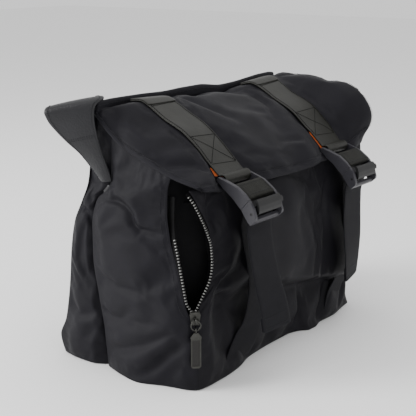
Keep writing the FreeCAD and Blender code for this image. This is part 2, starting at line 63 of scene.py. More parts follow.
BINDING_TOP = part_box("back_binding")[1].z / MM
BUCKLE_X = (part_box("buckle_base_right")[0].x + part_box("buckle_base_right")[1].x) / 2 / MM
STRAP_HALF = 24.5
CLOTH_THICK = 1.6
LINING_THICK = 0.8
BUCKLE_TILT = 41.7
TOP_BAR_REACH = 5.6
STRAP_BAR_REACH = 3.3
FLOOR_GAP = 0.5
FRONT_TOP = 222
SIDES = (("left", -1), ("right", 1))


# ---------------------------------------------------------------- curves and grids


def spread(values, count):
    """count points on a smooth line through the values, which never overshoots them."""
    values = np.asarray(values, float)
    last = len(values) - 1
    steps = np.diff(values, axis=0)
    product = steps[:-1] * steps[1:]
    total = steps[:-1] + steps[1:]
    inner = np.where(product > 0, 2 * product / np.where(np.abs(total) < 1e-9, 1, total), 0)
    slopes = np.concatenate([steps[:1], inner, steps[-1:]])
    at = np.linspace(0, last, count)
    index = np.minimum(at.astype(int), last - 1)
    part = (at - index).reshape((-1,) + (1,) * (values.ndim - 1))
    a, b = values[index], values[index + 1]
    ta, tb = slopes[index], slopes[index + 1]
    p2, p3 = part ** 2, part ** 3
    return (2 * p3 - 3 * p2 + 1) * a + (p3 - 2 * p2 + part) * ta + (3 * p2 - 2 * p3) * b + (p3 - p2) * tb


def lengths(line):
    """How far along a line each of its points is."""
    return np.concatenate([[0], np.cumsum(np.linalg.norm(np.diff(line, axis=0), axis=1))])


def places_on(line, reach, at):
    """The values of a line at distances along it."""
    return np.stack([np.interp(at, reach, line[:, k]) for k in range(line.shape[1])], -1)


def even(points, count):
    """count evenly spaced points on a line through the points."""
    fine = spread(points, 40 * len(points))
    reach = lengths(fine)
    return places_on(fine, reach, np.linspace(0, reach[-1], count))


def unit(vectors):
    """The vectors at length one."""
    return vectors / (np.linalg.norm(vectors, axis=-1, keepdims=True) + 1e-9)


def surface(net, rows, columns):
    """A fine grid of points on a smooth surface through a net of rows of points."""
    return spread(spread(np.array(net, float), rows).transpose(1, 0, 2), columns).transpose(1, 0, 2)


def towards(vectors, outward):
    """The vectors, turned over if they point away from the outward direction."""
    return -vectors if (vectors @ np.array(outward, float)).mean() < 0 else vectors


def normals_of(grid, outward):
    """Unit normals of a grid, on the side that the outward direction is."""
    return towards(unit(np.cross(np.gradient(grid, axis=1), np.gradient(grid, axis=0))), outward)


def ripple(grid, normals, size, depth, seed):
    """Moves a grid's inner points in and out by a smooth uneven amount."""
    moved = grid.copy()
    rows, columns = grid.shape[:2]
    for i in range(rows):
        for j in range(columns):
            edge = min(i, j, rows - 1 - i, columns - 1 - j) / 4
            place = Vector(grid[i, j] / size) + Vector((seed, 2.3 * seed, 0.7 * seed))
            moved[i, j] += normals[i, j] * (noise.noise(place) * depth * min(edge, 1))
    return moved


def crease(grid, normals, path, width, depth, ridge):
    """Presses a soft valley along a path, with a ridge along the left of it."""
    path = even(np.array(path, float), 24)
    flat = grid.reshape(-1, 3)
    away = flat[:, None] - path[None]
    distance = np.linalg.norm(away, axis=2)
    nearest = distance.argmin(1)
    gap = distance.min(1)
    tangent = np.gradient(path, axis=0)[nearest]
    turn = np.einsum("ij,ij->i", np.cross(tangent, away[np.arange(len(flat)), nearest]), normals.reshape(-1, 3))
    fade = np.clip(np.minimum(nearest, len(path) - 1 - nearest) / 5, 0, 1)
    push = -2.1 * depth * np.exp(-(gap / (0.75 * width)) ** 2) * fade
    left = np.where(turn > 0, gap, 99)
    push += 0.8 * ridge * np.exp(-((left - 1.9 * width) / (1.5 * width)) ** 2) * fade
    return (flat + normals.reshape(-1, 3) * push[:, None]).reshape(grid.shape)


def creased(grid, normals, folds):
    """A grid with several creases, each a path, width, depth and ridge."""
    for fold in folds:
        grid = crease(grid, normals, *fold)
    return grid


# ---------------------------------------------------------------- meshes


def link(name, points, faces, smooth=True):
    """A mesh object from points in millimetres."""
    mesh = bpy.data.meshes.new(name)
    mesh.from_pydata([tuple(p * MM) for p in np.asarray(points, float)], [], faces)
    mesh.update()
    for polygon in mesh.polygons:
        polygon.use_smooth = smooth
    thing = bpy.data.objects.new(name, mesh)
    bpy.context.scene.collection.objects.link(thing)
    return thing


def grid_faces(rows, columns, closed=False):
    """The quads of a grid, whose columns may close into a tube."""
    reach = columns if closed else columns - 1
    return [(i * columns + j, i * columns + (j + 1) % columns,
             (i + 1) * columns + (j + 1) % columns, (i + 1) * columns + j)
            for i in range(rows - 1) for j in range(reach)]


def smoothed(thing, levels=1):
    """A closed mesh with its faces pointed outwards, then subdivided."""
    tidy_normals(thing)
    if levels:
        modifier = thing.modifiers.new("smooth", "SUBSURF")
        modifier.levels = modifier.render_levels = levels
        mesh = bpy.data.meshes.new_from_object(thing.evaluated_get(bpy.context.evaluated_depsgraph_get()))
        thing.modifiers.clear()
        thing.data = mesh
        for polygon in mesh.polygons:
            polygon.use_smooth = True
    return thing


def thick_sheet(name, grid, normals, thick, levels=1):
    """A closed sheet of even thickness under a grid, which is its outer face."""
    rows, columns = grid.shape[:2]
    points = np.concatenate([grid.reshape(-1, 3), (grid - normals * thick).reshape(-1, 3)])
    count = rows * columns
    top = grid_faces(rows, columns)
    faces = list(top) + [tuple(count + k for k in reversed(face)) for face in top]
    edge = list(range(columns)) + [i * columns + columns - 1 for i in range(1, rows)]
    edge += [(rows - 1) * columns + j for j in range(columns - 2, -1, -1)]
    edge += [i * columns for i in range(rows - 2, 0, -1)]
    faces += [(a, count + a, count + b, b) for a, b in zip(edge, edge[1:] + edge[:1])]
    return smoothed(link(name, points, faces), levels)


def sheet_object(name, grid, outward, thick, levels=1):
    """A closed sheet under a grid whose outer face is on the side that the outward direction is."""
    return thick_sheet(name, grid, normals_of(grid, outward), thick, levels)


def tidy_normals(thing):
    """Points a closed mesh's faces outwards."""
    work = bmesh.new()
    work.from_mesh(thing.data)
    bmesh.ops.recalc_face_normals(work, faces=work.faces)
    work.to_mesh(thing.data)
    work.free()
    for polygon in thing.data.polygons:
        polygon.use_smooth = True


def capped_tube(name, rings):
    """A closed tube through rings of points, with flat ends."""
    rings = np.asarray(rings, float)
    rows, sides = rings.shape[:2]
    faces = grid_faces(rows, sides, closed=True)
    faces += [tuple(range(sides)), tuple(reversed(range((rows - 1) * sides, rows * sides)))]
    thing = link(name, rings.reshape(-1, 3), faces)
    tidy_normals(thing)
    return thing


def tube_object(name, path, radius, sides=8):
    """A closed round tube along a path."""
    path = np.asarray(path, float)
    tangents = unit(np.gradient(path, axis=0))
    first = unit(np.cross(tangents, (0.0, 0.0, 1.0)))
    second = np.cross(first, tangents)
    angles = np.linspace(0, 2 * math.pi, sides, endpoint=False)
    rings = [path + radius * (math.cos(a) * first + math.sin(a) * second) for a in angles]
    return capped_tube(name, np.stack(rings, 1))


def band_object(name, left, right, thick, out, edge=0.5):
    """A flat band between two edge lines, with rounded edges. out is the side that its face is on."""
    left, right = np.asarray(left, float), np.asarray(right, float)
    across = unit(right - left)
    face = towards(unit(np.cross(across, np.gradient((left + right) / 2, axis=0))), out)
    half = thick / 2
    low = half - edge * 0.6
    rings = [left - face * low, left + face * low, left + across * edge + face * half, (left + right) / 2 + face * half,
             right - across * edge + face * half, right + face * low, right - face * low,
             right - across * edge - face * half, (left + right) / 2 - face * half, left + across * edge - face * half]
    return smoothed(capped_tube(name, np.stack(rings, 1)))


def join(name, things):
    """Several meshes as one object."""
    for thing in bpy.context.selected_objects:
        thing.select_set(False)
    for thing in things:
        thing.select_set(True)
    bpy.context.view_layer.objects.active = things[0]
    bpy.ops.object.join()
    things[0].name = name
    return things[0]


def stitches(name, lines, pitch=2.6, length=1.9, radius=0.32):
    """Rows of sewing thread: each line is a list of points with the outward direction of each point."""
    points, faces = [], []
    angles = np.linspace(0, 2 * math.pi, 6, endpoint=False)
    for path, out in lines:
        path, out = np.asarray(path, float), np.asarray(out, float)
        reach = lengths(path)
        for start in np.arange(0.3, reach[-1] - length, pitch):
            spots = start + length * np.array([0, 0.18, 0.5, 0.82, 1.0])
            centre = places_on(path, reach, spots)
            run = centre[-1] - centre[0]
            side = unit(np.cross(run, places_on(out, reach, spots[2])))
            lift = unit(np.cross(side, run))
            base = len(points)
            for spot, swell, rise in zip(centre, (0.45, 0.9, 1.0, 0.9, 0.45), (-0.6, 0.1, 0.35, 0.1, -0.6)):
                for angle in angles:
                    ring = side * math.cos(angle) + lift * math.sin(angle)
                    points.append(spot + lift * rise * radius + ring * radius * swell)
            for i in range(4):
                for j in range(6):
                    a, b = base + i * 6 + j, base + i * 6 + (j + 1) % 6
                    faces.append((a, b, b + 6, a + 6))
            faces += [tuple(base + j for j in reversed(range(6))), tuple(base + 24 + j for j in range(6))]
    return link(name, points, faces)


def grid_line(grid, normals, rows, columns, lift=0.3):
    """A line of a grid raised off its face, with the face's direction at each point."""
    out = normals[rows, columns]
    return grid[rows, columns] + out * lift, out


def facing(path, out):
    """A line of thread whose outward direction is the same all along."""
    return path, np.tile(out, (len(path), 1))


# ---------------------------------------------------------------- cloth simulation


SETTLE_FRAMES = 20


def settle(grid, held, push, spare, stiffness=0.6, cap=6.0):
    """Lets a grid of cloth with some spare cloth settle between its held points. Returns the settled grid."""
    rows, columns = grid.shape[:2]
    cloth = link("settling", grid.reshape(-1, 3), grid_faces(rows, columns))
    group = cloth.vertex_groups.new(name="held")
    for index, weight in enumerate(held.reshape(-1)):
        if weight > 0:
            group.add([index], float(weight), "REPLACE")
    modifier = cloth.modifiers.new("cloth", "CLOTH")
    for key, number in dict(
            quality=5, mass=0.15, tension_stiffness=12, compression_stiffness=12, shear_stiffness=4,
            bending_stiffness=stiffness, tension_damping=8, compression_damping=8, shear_damping=8, air_damping=3,
            use_pressure=True, uniform_pressure_force=push, shrink_min=-spare, vertex_group_mass="held").items():
        setattr(modifier.settings, key, number)
    modifier.settings.effector_weights.gravity = 0
    modifier.collision_settings.use_collision = False
    modifier.point_cache.frame_start = 1
    modifier.point_cache.frame_end = SETTLE_FRAMES
    scene = bpy.context.scene
    for number in range(1, SETTLE_FRAMES + 1):
        scene.frame_set(number)
    seen = cloth.evaluated_get(bpy.context.evaluated_depsgraph_get())
    settled = np.array([v.co for v in seen.data.vertices]).reshape(grid.shape) / MM
    scene.frame_set(1)
    bpy.data.objects.remove(cloth)
    moved = settled - grid
    far = np.linalg.norm(moved, axis=2, keepdims=True)
    moved *= np.minimum(1, cap / np.maximum(far, 1e-6))
    return grid + np.nan_to_num(moved)


def rim(grid, width):
    """A mask that holds a grid's edges."""
    held = np.ones(grid.shape[:2])
    held[width:-width, width:-width] = 0
    return held


# ---------------------------------------------------------------- materials


class Shader:
    """A node material under construction."""

    def __init__(self, name, colour, roughness, **sockets):
        self.material = bpy.data.materials.new(name)
        self.material.use_nodes = True
        self.tree = self.material.node_tree
        self.shader = self.tree.nodes["Principled BSDF"]
        self.colour = colour
        self.put("Base Color", (*colour, 1))
        self.put("Roughness", roughness)
        for socket, number in sockets.items():
            self.put(socket.replace("_", " "), number)
        self.place = self.tree.nodes.new("ShaderNodeTexCoord").outputs["Object"]
        self.height = None

    def put(self, socket, number):
        self.shader.inputs[socket].default_value = number

    def node(self, kind, links=None, **settings):
        made = self.tree.nodes.new(kind)
        for key, number in settings.items():
            if hasattr(made, key):
                setattr(made, key, number)
            else:
                made.inputs[key.replace("_", " ")].default_value = number
        for socket, source in (links or {}).items():
            self.tree.links.new(source, made.inputs[socket])
        return made

    def math(self, operation, a, b):
        made = self.tree.nodes.new("ShaderNodeMath")
        made.operation = operation
        self.tree.links.new(a, made.inputs[0])
        if isinstance(b, float):
            made.inputs[1].default_value = b
        else:
            self.tree.links.new(b, made.inputs[1])
        return made.outputs[0]

    def noise(self, scale, detail):
        return self.node("ShaderNodeTexNoise", {"Vector": self.place}, Scale=scale, Detail=detail,
                         Roughness=0.55).outputs["Fac"]

    def wave(self, scale, direction, distortion):
        return self.node("ShaderNodeTexWave", {"Vector": self.place}, wave_type="BANDS", wave_profile="SIN",
                         bands_direction=direction, Scale=scale, Distortion=distortion).outputs["Fac"]

    def tint(self, amount_source, low, high):
        """Colour that runs between two shades of the base colour."""
        ramp = self.node("ShaderNodeValToRGB", {"Fac": amount_source})
        for element, position, share in zip(ramp.color_ramp.elements, (0.3, 0.7), (low, high)):
            element.position = position
            element.color = (*[min(c * share, 1) for c in self.colour], 1)
        self.tree.links.new(ramp.outputs["Color"], self.shader.inputs["Base Color"])

    def rough(self, source, low, high):
        made = self.node("ShaderNodeMapRange", {"Value": source}, To_Min=low, To_Max=high)
        self.tree.links.new(made.outputs["Result"], self.shader.inputs["Roughness"])

    def bump(self, source, strength, distance):
        made = self.node("ShaderNodeBump", {"Height": source}, Strength=strength, Distance=distance)
        if self.height is not None:
            self.tree.links.new(self.height, made.inputs["Normal"])
        self.height = made.outputs["Normal"]
        self.tree.links.new(self.height, self.shader.inputs["Normal"])


def nylon(name, colour, sheen=0.02, roughness=0.55):
    """Fine twill nylon: a tight diagonal weave, faint mottling and a soft sheen."""
    made = Shader(name, colour, roughness, Sheen_Weight=sheen, Sheen_Roughness=0.4, Specular_IOR_Level=0.10)
    made.tint(made.noise(26, 5), 0.86, 1.16)
    made.rough(made.noise(60, 3), roughness - 0.07, roughness + 0.08)
    warp = made.wave(900, "DIAGONAL", 0.4)
    weft = made.wave(620, "Z", 0.4)
    made.bump(made.math("MULTIPLY", warp, weft), 0.22, 0.00025)
    made.bump(made.noise(210, 4), 0.16, 0.0006)
    made.bump(made.noise(55, 3), 0.22, 0.0015)
    return made.material


def webbing(name, colour):
    """Ribbed webbing: fine ribs across cord-like warp bundles."""
    made = Shader(name, colour, 0.66, Sheen_Weight=0.02, Sheen_Roughness=0.4, Specular_IOR_Level=0.1)
    made.tint(made.noise(90, 4), 0.8, 1.2)
    ribs = made.wave(230, "X", 0.3)
    picks = made.wave(330, "Z", 0.3)
    made.bump(made.math("ADD", made.math("MULTIPLY", ribs, 0.6), made.math("MULTIPLY", picks, 0.5)), 0.5, 0.0005)
    made.bump(made.noise(500, 3), 0.2, 0.0003)
    return made.material


def leather(name, colour, grain, depth, roughness):
    """Coated leather: pebbled grain, faint pores and rubbed patches."""
    made = Shader(name, colour, roughness, Specular_IOR_Level=0.3, Coat_Weight=0.03, Coat_Roughness=0.35)
    made.tint(made.noise(34, 5), 0.82, 1.22)
    made.rough(made.noise(48, 4), roughness - 0.09, roughness + 0.1)
    cells = made.node("ShaderNodeTexVoronoi", {"Vector": made.place}, feature="SMOOTH_F1", Scale=grain)
    made.bump(cells.outputs["Distance"], depth, 0.0008)
    made.bump(made.noise(120, 4), 0.2, 0.0009)
    return made.material


def plastic(name, colour, roughness):
    """Moulded plastic: a fine spark-eroded texture and slight scuffs."""
    made = Shader(name, colour, roughness, Specular_IOR_Level=0.32)
    made.tint(made.noise(140, 3), 0.92, 1.1)
    made.rough(made.noise(70, 4), roughness - 0.06, roughness + 0.09)
    made.bump(made.noise(1500, 2), 0.18, 0.0002)
    return made.material


def metal(name, colour, roughness):
    """Plated metal: slight wear and a faint orange-peel."""
    made = Shader(name, colour, roughness, Metallic=1.0)
    made.tint(made.noise(220, 3), 0.8, 1.15)
    made.rough(made.noise(180, 4), roughness - 0.08, roughness + 0.12)
    made.bump(made.noise(900, 2), 0.12, 0.0002)
    return made.material


FINISH = {name: kind(name, colour, *rest) for name, kind, colour, *rest in (
    ("nylon", nylon, (0.0080, 0.0076, 0.0100)),
    # Painted shade: a darker copy of the nylon for the front panel, which faces away from the lights.
    ("front_nylon", nylon, (0.0066, 0.0062, 0.0080)),
    ("hem", nylon, (0.0090, 0.0086, 0.0112), 0.03, 0.6),
    ("lining", nylon, (0.004, 0.004, 0.0045), 0.01, 0.8),
    ("webbing", webbing, (0.0056, 0.0054, 0.0072)),
    ("olive_webbing", webbing, (0.0150, 0.0150, 0.0132)),
    ("olive_leather", leather, (0.0104, 0.0104, 0.0080), 700, 0.2, 0.5),
    ("orange_leather", leather, (0.42, 0.085, 0.015), 420, 0.5, 0.75),
    ("strap_leather", leather, (0.0095, 0.0095, 0.0112), 560, 0.42, 0.42),
    ("buckle_plastic", plastic, (0.0290, 0.0282, 0.0335), 0.42),
    ("dark_plastic", plastic, (0.0042, 0.0042, 0.0046), 0.46),
    ("zip_metal", metal, (0.26, 0.26, 0.25), 0.36),
    ("black_nickel", metal, (0.050, 0.050, 0.046), 0.3),
    ("zip_cloth", nylon, (0.0022, 0.0022, 0.0024), 0.0, 0.75),
    ("pull_rubber", plastic, (0.0090, 0.0080, 0.0070), 0.55),
    ("dark_thread", nylon, (0.0035, 0.0035, 0.0035), 0.0, 0.7),
    ("thread", nylon, (0.0180, 0.0180, 0.0210), 0.08, 0.6),
)}


def finish(thing, finish_name, nodes):
    """Gives a piece its material and hides the frame nodes that it stands for."""
    thing.data.materials.clear()
    thing.data.materials.append(FINISH[finish_name])
    if nodes:
        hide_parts(*nodes)


def part(thing, body, finish_name, slot=None, nodes=()):
    """A finished piece that rides on a body."""
    finish(thing, finish_name, nodes)
    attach(thing, body)
    return thing


def flap_part(thing, finish_name, nodes=()):
    """A finished piece whose placement is baked into its mesh."""
    finish(thing, finish_name, nodes)
    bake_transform(thing)
    return thing


# ---------------------------------------------------------------- the bag's walls


def side_net(rows, side):
    """Rows of a height and then (bulge, y), or (bulge, y, own height), as points on one side of the bag."""
    return [[(side * (HALF + bulge), y, *(own or [height])) for bulge, y, *own in row] for height, *row in rows]


LEFT_FRONT = [
    (0, (4, 19), (14, -8), (20, -36), (9, -70), (4, -94), (-2, -105)),
    (45, (6, 22), (13, -7), (15, -38), (11, -70), (6, -93), (-2, -105)),
    (72, (6, 27), (12, -3), (13, -35), (10, -66), (4, -90), (-3, -101)),
    (92, (6, 31), (11, 0), (12, -32), (8, -58), (5, -77), (1, -92)),
    (130, (6, 37), (11, 8), (10, -24), (7, -48), (4, -66), (1, -82)),
    (165, (6, 37), (11, 12), (9, -16), (6, -38), (4, -55), (1, -71)),
    (195, (4, 31), (9, 8), (8, -16, 193), (6, -36, 194), (4, -52), (1, -67)),
    (217, (1, 12), (5, -5, 216), (6, -25, 215), (5, -40, 215), (4, -54, 216), (1, -68)),
    (268, (-4, 14), (-3, -10, 257), (-3, -32, 248), (-2, -46, 243), (-2, -58, 240), (-2, -72, 237)),
]
LEFT_BACK = [
    (0, (0, 91), (6, 64), (7, 41), (-4, 20)),
    (22, (1, 97), (7, 66), (7, 41), (-5, 21)),
    (45, (0, 88), (7, 62), (6, 39), (-6, 23)),
    (90, (0, 80), (6, 61), (6, 43), (-7, 30)),
    (130, (0, 76), (6, 61), (6, 47), (-8, 37)),
    (165, (-1, 70), (5, 58), (5, 46), (-7, 36)),
    (195, (-2, 55), (2, 46), (2, 38), (-5, 30)),
    (217, (-3, 46), (0, 36), (0, 24), (-4, 11)),
    (250, (-3, 41), (-3, 32, 252), (-3, 22, 253), (-5, 12, 254)),
    (296, (-4, 35), (-4, 31, 288), (-4, 25, 280), (-5, 14, 266)),
]
RIGHT_FRONT = [
    (0, (2, 21), (7, -8), (8, -38), (4, -66), (-3, -93)),
    (30, (3, 22), (8, -8), (9, -38), (4, -66), (-9, -88)),
    (66, (3, 27), (9, -5), (10, -38), (7, -70), (-2, -100)),
    (115, (3, 34), (9, 2), (10, -35), (7, -72), (0, -106)),
    (165, (3, 38), (9, 8), (9, -30), (6, -70), (0, -106)),
    (210, (1, 20), (7, -8), (7, -38), (4, -72), (-1, -103, 208)),
    (290, (-3, 11), (-3, -20, 288), (-3, -60, 284), (-3, -80, 273), (-4, -92, 264)),
]
RIGHT_BACK = [
    (0, (0, 90), (5, 66), (5, 42), (1, 19)),
    (45, (0, 84), (5, 62), (5, 40), (1, 19)),
    (90, (0, 78), (5, 60), (5, 42), (1, 28)),
    (145, (0, 72), (5, 60), (5, 46), (0, 35)),
    (195, (-2, 54), (2, 44), (2, 34), (-2, 22)),
    (250, (-3, 41), (-3, 32, 252), (-3, 22, 253), (-5, 12, 254)),
    (296, (-4, 35), (-4, 28, 292), (-4, 20, 290), (-5, 12, 288)),
]
RIGHT_CHAIN = [(-175, -98.5, 86), (-165, -103.5, 106), (-156, -105.5, 122), (-153, -106, 138), (-154.7, -106, 157),
               (-160, -106, 171), (-166.5, -105.5, 184), (-177, -102, 205), (-183, -95, 219)]
LEFT_CHAIN = [(-177.5, -96.5, 89), (-181.5, -92.5, 99), (-182, -90, 111), (-182, -85.7, 131), (-181.5, -80.4, 153),
              (-180, -75.5, 168), (-178, -72.5, 185), (-178, -73.5, 212)]


def front_fold(x):
    """Height of the fold under which the front wall tucks in."""
    return float(np.interp(x, [-184, -150, -100, -50, 35, 130, 180], [82, 101, 106, 92, 76, 60, 48]))


def front_net():
    """The front wall: full above its fold, tucked in under it, and spread again at the foot."""
    columns = [-178, -160, -130, -97, -64, -26, 16, 42, 56, 70, 92, 120, 150, 180]
    foot = [-105, -108, -107.5, -104, -95, -92, -90.5, -96, -105.5, -106, -101, -102, -97, -93]
    belly = [0, 1, 4, 3, 5, 6, 6, 6, 6, 5, 4, 4, 2, 0]
    folds = [front_fold(x) for x in columns]
    net = [[[x, y, 0.0] for x, y in zip(columns, foot)]]
    for share, y, fullness in ((0.4, -102, 0.5), (0.8, -99, 1), (1.06, -106, -1)):
        net.append([[x, y + swell * fullness, share * fold] for x, swell, fold in zip(columns, belly, folds)])
    for share, y, fullness in ((0.3, -107, -1), (0.65, -107, -0.9), (0.88, -105, -0.3), (1.0, -101, 0)):
        net.append([[x, y + swell * fullness, fold + (FRONT_TOP - fold) * share]
                    for x, swell, fold in zip(columns, belly, folds)])
    chain_x, chain_y, chain_z = np.array(RIGHT_CHAIN).T
    for row in net:
        right, left = row[-1], row[0]
        right[:2] = (np.interp(right[2], [0, 12, 30, 50, 70, 110, 222], [177, 175, 171, 175, 179, 180, 179]),
                     np.interp(right[2], [0, 12, 30, 50, 70, 110, 170, 222],
                               [-93, -91, -88, -94, -101, -106, -106, -103]))
        if left[2] < 84:
            left[:2] = (np.interp(left[2], [0, 45, 72, 84], [-178, -178, -177, -174]),
                        np.interp(left[2], [0, 45, 72, 84], [-105, -105, -101, -99]))
            row[1][1] = min(row[1][1], -107)
        else:
            left[:2] = np.interp(left[2], chain_z, chain_x) + 3.5, np.interp(left[2], chain_z, chain_y)
        for column in range(1, 4):
            row[column][0] = max(row[column][0], left[0] + 14 * column)
    return net


def back_line(z):
    """How far back the back wall is at a height."""
    return float(np.interp(z, [0, 41, 67, 117, 155, 175, 196, 215, 240, 300],
                           [90, 84, 80, 75, 72, 66, 54, 46.5, 43, 34.5]))


LEFT_FOLDS = (
    ([(-184, 22, 200), (-186, 3, 200), (-186, -12, 197), (-186, -26, 187), (-186, -30, 174)], 5, 3.4, 1.6),
    ([(-186, -16, 186), (-186, -34, 174), (-186, -50, 171), (-185, -66, 171)], 5, 2.6, 1.2),
    ([(-186, -36, 165), (-186, -52, 158), (-185, -64, 150)], 4, 1.4, 1.0),
    ([(-188, 12, 28), (-192, -20, 36), (-190, -52, 50), (-188, -82, 67)], 6, 2.6, 1.8),
    ([(-194, -22, 2), (-192, -50, 18), (-189, -72, 38), (-187, -96, 58)], 8, 4.0, 2.2),
    ([(-186, 24, 112), (-190, 0, 106), (-189, -28, 104), (-187, -58, 94)], 5, 1.2, 0.8),
    ([(-186, 26, 74), (-190, 4, 66), (-190, -20, 70)], 5, 1.4, 0.8),
)
REAR_FOLDS = (
    ([(-185, 74, 120), (-185, 62, 104), (-185, 48, 84)], 4, 1.3, 1.0),
    ([(-185, 76, 66), (-185, 58, 58), (-185, 36, 60)], 5, 1.6, 1.2),
    ([(-184, 60, 190), (-184, 44, 176), (-183, 36, 160)], 5, 2.2, 1.2),
)
FRONT_FOLDS = (
    ([(24, -109, 205), (34, -113, 160), (54, -113, 122), (59, -110, 84)], 3, 1.0, 0.8),
    ([(-148, -104, 100), (-120, -104, 84), (-100, -103, 60)], 8, 3.0, 1.5),
    ([(40, -100, 66), (44, -98, 34), (36, -95, 8)], 6, 3.0, 2.0),
    ([(100, -100, 58), (92, -100, 30), (80, -98, 6)], 7, 3.2, 2.0),
    ([(150, -98, 50), (136, -98, 26), (128, -98, 6)], 5, 2.5, 1.5),
    ([(-30, -100, 84), (-20, -96, 44), (-26, -92, 10)], 7, 2.5, 1.5),
    ([(88, -111, 196), (70, -112, 172), (64, -112, 150)], 6, 1.6, 1.0),
)


def make_walls():
    """Every outer wall as a sheet of cloth; all but the base are settled between their seams."""
    xs = range(-180, 181, 40)
    back = []
    for z in (0, 30, 80, 130, 165, 190, 215, 250, 296):
        bulge = 9 * math.sin(math.pi * min(z + 14, 270) / 284)
        back.append([(x, back_line(z) + bulge * (1 - (x / HALF) ** 2), z) for x in xs])
    base = [[(x * (1 - 0.02 * abs(y) / 90), y, 0.6) for x in xs] for y in (-92, -60, -20, 20, 60, 90)]
    grids = {}
    for name, net, rows, columns, outward, wave, depth, seed, folds, push, spare in (
        ("side_left_front", side_net(LEFT_FRONT, -1), 68, 30, (-1, 0, 0), 38, 2.2, 3.0, LEFT_FOLDS, 0.3, 0.035),
        ("side_left_back", side_net(LEFT_BACK, -1), 72, 18, (-1, 0, 0), 34, 2.4, 8.0, REAR_FOLDS, 0.3, 0.03),
        ("side_right_front", side_net(RIGHT_FRONT, 1), 64, 28, (1, 0, 0), 40, 2.4, 5.0, (), 0.3, 0.03),
        ("side_right_back", side_net(RIGHT_BACK, 1), 64, 18, (1, 0, 0), 40, 2.4, 6.0, (), 0.3, 0.03),
        ("front_panel", front_net(), 60, 84, (0, -1, 0), 42, 2.6, 4.0, FRONT_FOLDS, 0.36, 0.03),
        ("back_panel", back, 60, 74, (0, 1, 0), 46, 3.0, 7.0, (), 0.3, 0.03),
        ("base_panel", base, 30, 60, (0, 0, -1), 1, 0, 0, (), 0, 0),
    ):
        grid = surface(net, rows, columns)
        if spare:
            normals = normals_of(grid, outward)
            grid = creased(ripple(grid, normals, wave, depth, seed), normals, folds)
            grid = settle(grid, rim(grid, 2), push, spare)
            grid[..., 2] = np.maximum(grid[..., 2], FLOOR_GAP)
        wall = sheet_object(name + "_cloth", grid, outward, CLOTH_THICK)
        # The front panel takes the darker copy of the nylon: painted shade, not a different cloth.
        part(wall, "shell", "front_nylon" if name == "front_panel" else "nylon", "nylon", [name])
        grids[name] = grid
    return grids


def make_binding():
    """The thick folded edge that stands along the top of the back, rising and dipping a little."""
    xs = [-178, -150, -100, -60, -23, 10, 55, 84, 114, 142, 165, 177]
    rise = [-1.0, 0.0, -0.5, -1.5, -0.5, -0.5, -5.0, -4.0, -1.5, 0.5, 1.0, 0.0]
    line = even([(x, 34 + 0.6 * math.sin(x / 23), BINDING_TOP + dz) for x, dz in zip(xs, rise)], 120)
    section = [(-2.2, -16), (-2.6, -10), (-2.6, -3.5), (-1.9, -0.9), (0, 0), (1.9, -0.9), (2.6, -3.5), (2.6, -10),
               (2.2, -16)]
    band = capped_tube("back_binding_fold", np.stack([line + (0, dy, dz) for dy, dz in section], 1))
    part(band, "shell", "hem", nodes=["back_binding"])
    thread = stitches("back_binding_stitches", [facing(line + (0, -2.9, -4.5), (0, -1.0, 0))])
    part(thread, "shell", "thread", "hem")


# ---------------------------------------------------------------- flap


def crown(x):
    """Height of the flap's crown across its width."""
    return float(np.interp(x, [-165, -133, -90, -33, 10, 44, 84, 110, 137, 160],
                           [299, 300.5, 300, 297.5, 296, 295.5, 298.5, 300.5, 302, 303.5]))


def seam(x):
    """Height of the seam between the flap and the binding."""
    return float(np.interp(x, [-180, -142, -90, -33, 44, 102, 137, 178],
                           [294, 295, 294.5, 291.5, 289, 292.5, 296, 300]))


def flap_column(x, *below):
    """One line down the flap from the seam to the lip, through the places (y, z) below its crown."""
    top = crown(x)
    return [(x, 30, seam(x)), (x, 21, (seam(x) + top) / 2 + 1.5), (x, 8, top), *((x, y, z) for y, z in below)]


